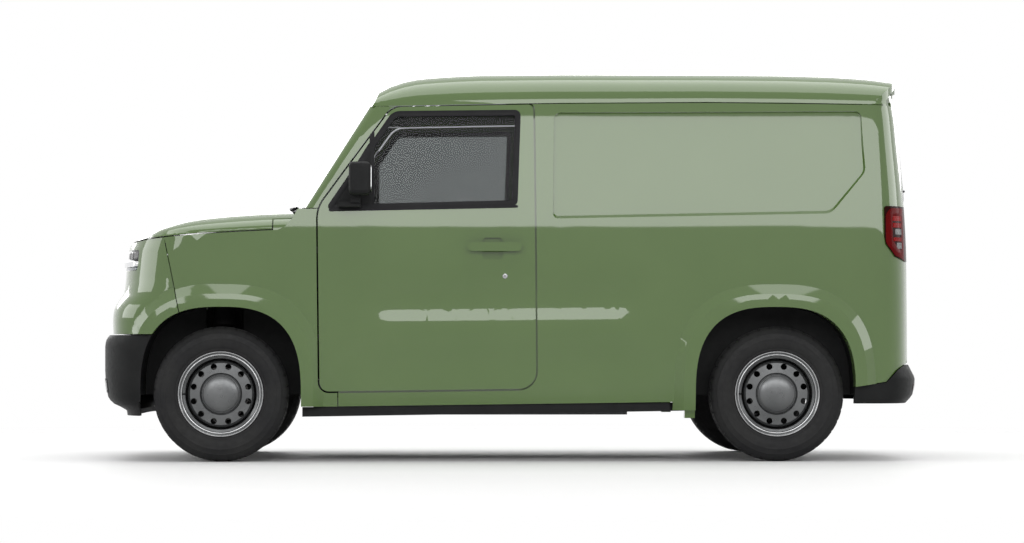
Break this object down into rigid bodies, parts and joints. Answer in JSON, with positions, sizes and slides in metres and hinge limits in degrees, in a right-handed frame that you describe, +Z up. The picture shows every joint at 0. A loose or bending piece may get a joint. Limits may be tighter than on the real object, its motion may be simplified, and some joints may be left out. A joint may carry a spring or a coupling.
{
  "type": "panel van",
  "caption": "Compact panel van with a short bonnet, closed sides, swinging cab doors and a glazed tailgate on steel wheels.",
  "frame": {"origin": "middle of the van on the ground, halfway between bumpers and sides", "axes": "-X to the front of the van, +Y to its right side, +Z up"},
  "size_m": [3.768, 2.02, 1.7929],
  "materials": {
    "paint": "gloss",
    "trim": "matte",
    "glazing": "gloss",
    "lamp_band": "gloss",
    "lamp_clear": "gloss",
    "lamp_red": "gloss",
    "wheel_paint": "satin",
    "tyre": "matte",
    "chassis": "satin",
    "casting": "rough",
    "inner_paint": "satin",
    "battery_case": "satin",
    "cab_plastic": "grained",
    "seat_cloth": "woven"
  },
  "bodies": {
    "body": {"front_panel": "paint", "wings": "paint", "lamp_band": "lamp_band", "headlamps": "lamp_clear", "scuttle": "trim", "windscreen": "glazing", "pillars": "paint", "roof_panel": "paint", "side_panels": "paint", "tail_lamps": "lamp_red", "under_sills": "trim", "front_bumper": "trim", "rear_bumper": "trim", "floor_pan": "inner_paint", "arch_liners_front": "trim", "arch_liners_rear": "trim", "chassis_rails": "chassis", "battery": "battery_case", "front_suspension": "chassis", "rear_axle": "chassis", "dashboard": "cab_plastic", "seats": "seat_cloth", "partition": "inner_paint"},
    "door_left": {"door_left": "paint", "door_glass_left": "glazing", "handle_left": "paint", "mirror_left": "trim"},
    "door_right": {"door_right": "paint", "door_glass_right": "glazing", "handle_right": "paint", "mirror_right": "trim"},
    "tailgate": {"tailgate": "paint", "tailgate_glass": "glazing"},
    "bonnet": {"bonnet": "paint"},
    "steering_wheel": {"steering_wheel": "cab_plastic"},
    "knuckle_left": {"knuckle_left": "casting"},
    "knuckle_right": {"knuckle_right": "casting"},
    "wheel_front_left": {"rim_front_left": "wheel_paint", "tyre_front_left": "tyre"},
    "wheel_front_right": {"rim_front_right": "wheel_paint", "tyre_front_right": "tyre"},
    "wheel_rear_left": {"rim_rear_left": "wheel_paint", "tyre_rear_left": "tyre"},
    "wheel_rear_right": {"rim_rear_right": "wheel_paint", "tyre_rear_right": "tyre"}
  },
  "joints": [
    {"name": "door_left_swing", "type": "hinge", "parent": "body", "child": "door_left", "pos_m": [-0.843, -0.792, 0.8], "axis": [0, 0, -1], "range_deg": [0, 65]},
    {"name": "door_right_swing", "type": "hinge", "parent": "body", "child": "door_right", "pos_m": [-0.843, 0.792, 0.8], "axis": [0, 0, 1], "range_deg": [0, 65]},
    {"name": "bonnet_lift", "type": "hinge", "parent": "body", "child": "bonnet", "pos_m": [-1.06, 0, 1.14], "axis": [0, 1, 0], "range_deg": [0, 45]},
    {"name": "tailgate_lift", "type": "hinge", "parent": "body", "child": "tailgate", "pos_m": [1.775, 0, 1.7], "axis": [0, -1, 0], "range_deg": [0, 85]},
    {"name": "steer_left", "type": "hinge", "parent": "body", "child": "knuckle_left", "pos_m": [-1.3225, -0.668, 0.188], "axis": [0, 0.2195, 0.9756], "range_deg": [-33, 33]},
    {"name": "steer_right", "type": "hinge", "parent": "body", "child": "knuckle_right", "pos_m": [-1.3225, 0.668, 0.188], "axis": [0, -0.2195, 0.9756], "range_deg": [-33, 33]},
    {"name": "steering_wheel_turn", "type": "hinge", "parent": "body", "child": "steering_wheel", "pos_m": [-0.59, -0.37, 1.02], "axis": [0.9292, 0, 0.3697], "range_deg": [-400, 400]},
    {"name": "wheel_front_left_spin", "type": "hinge", "parent": "knuckle_left", "child": "wheel_front_left", "pos_m": [-1.3225, -0.72, 0.306], "axis": [0, 1, 0], "continuous": true},
    {"name": "wheel_front_right_spin", "type": "hinge", "parent": "knuckle_right", "child": "wheel_front_right", "pos_m": [-1.3225, 0.72, 0.306], "axis": [0, 1, 0], "continuous": true},
    {"name": "wheel_rear_left_spin", "type": "hinge", "parent": "body", "child": "wheel_rear_left", "pos_m": [1.1975, -0.72, 0.306], "axis": [0, 1, 0], "continuous": true},
    {"name": "wheel_rear_right_spin", "type": "hinge", "parent": "body", "child": "wheel_rear_right", "pos_m": [1.1975, 0.72, 0.306], "axis": [0, 1, 0], "continuous": true}
  ],
  "couplings": [
    {"joint": "steer_right", "follows": "steer_left", "ratio": 1},
    {"joint": "steering_wheel_turn", "follows": "steer_left", "ratio": 12}
  ]
}
